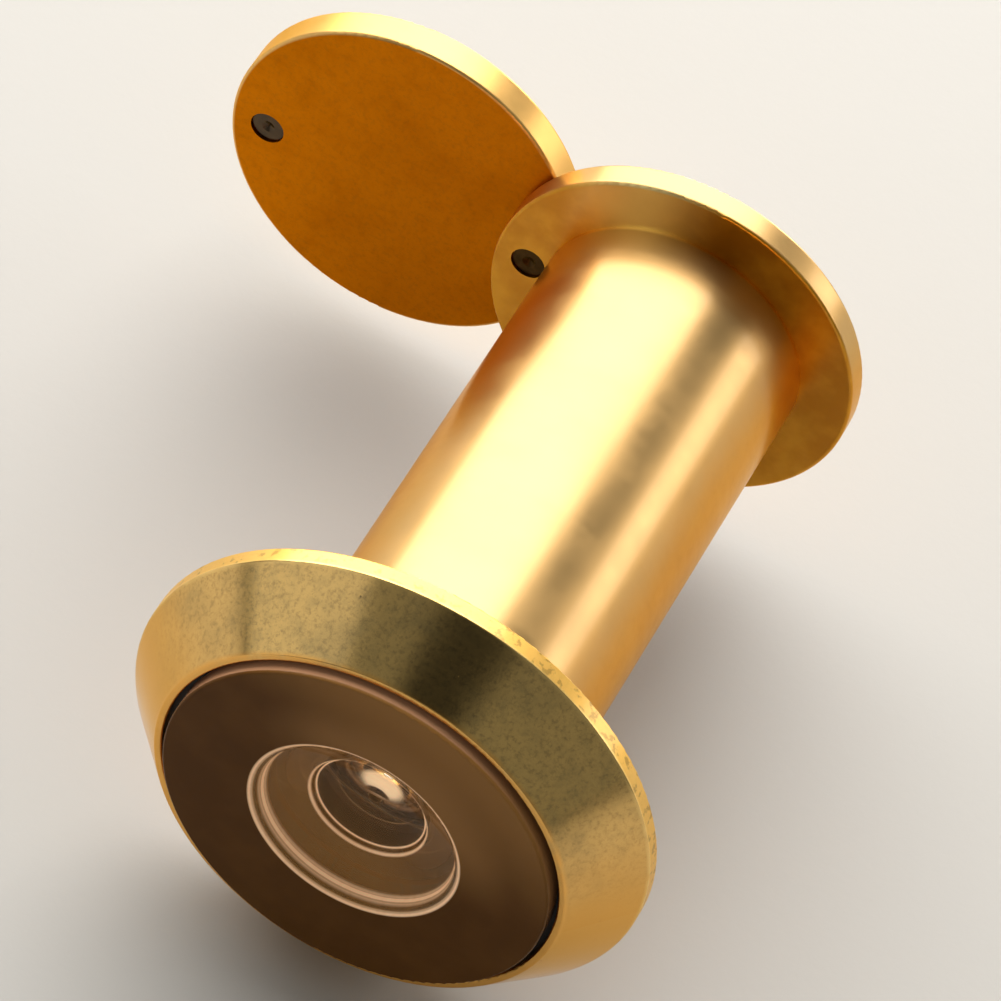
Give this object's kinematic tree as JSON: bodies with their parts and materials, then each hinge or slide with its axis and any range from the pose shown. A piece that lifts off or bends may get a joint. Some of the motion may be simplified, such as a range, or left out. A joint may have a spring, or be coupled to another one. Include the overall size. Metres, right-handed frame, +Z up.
{
  "type": "door viewer",
  "caption": "Round door viewer: a coned outer head with a wide lens, a sleeve that screws over its barrel, and a flange with a swivel cover for the eyepiece.",
  "frame": {"origin": "on the viewer's axis, in the plane of the outer head's seat, which is the door's outside face", "axes": "+Y along the viewer's axis, from outside the door into the room; +Z up; the cover's pivot is on the -X side"},
  "size_m": [0.0437, 0.0472, 0.03],
  "materials": {
    "polished_brass": "polished, tarnished in patches",
    "satin_brass": "satin brushed",
    "cover_brass": "satin",
    "knob_brass": "polished",
    "rivet_brass": "polished",
    "ring_brass": "turned",
    "washer_brass": "turned",
    "spring_steel": "satin",
    "front_glass": "dark, polished",
    "clear_glass": "polished",
    "eye_glass": "polished",
    "black_rubber": "matt",
    "black_plastic": "matt"
  },
  "bodies": {
    "outer_unit": {"bezel_barrel": "polished_brass", "objective_seal": "black_rubber", "objective_lens": "front_glass", "lens_cell": "black_plastic", "second_lens": "clear_glass", "lens_spacer": "black_plastic", "third_lens": "clear_glass", "cell_retaining_ring": "black_plastic", "barrel_lock_ring": "ring_brass"},
    "eyepiece_carriage": {"eyepiece_lens": "eye_glass", "eyepiece_oring": "black_rubber"},
    "inner_unit": {"sleeve_flange": "satin_brass", "eyepiece_retaining_ring": "ring_brass", "pivot_rivet": "rivet_brass", "pivot_spacer_washer": "washer_brass", "pivot_spring_washer": "spring_steel"},
    "cover": {"cover_disc": "cover_brass", "finger_knob": "knob_brass"}
  },
  "joints": [
    {"name": "sleeve_travel", "type": "slide", "parent": "outer_unit", "child": "eyepiece_carriage", "axis": [0, 1, 0], "range_m": [0, 0.036]},
    {"name": "sleeve_turn", "type": "hinge", "parent": "eyepiece_carriage", "child": "inner_unit", "pos_m": [0, 0, 0], "axis": [0, 1, 0], "range_deg": [0, 12960]},
    {"name": "cover_swing", "type": "hinge", "parent": "inner_unit", "child": "cover", "pos_m": [-0.00905, 0.038, 0], "axis": [0, 1, 0], "range_deg": [-172, 188]}
  ],
  "couplings": [
    {"joint": "sleeve_travel", "follows": "sleeve_turn", "m_per_rad": 0.00015915}
  ]
}
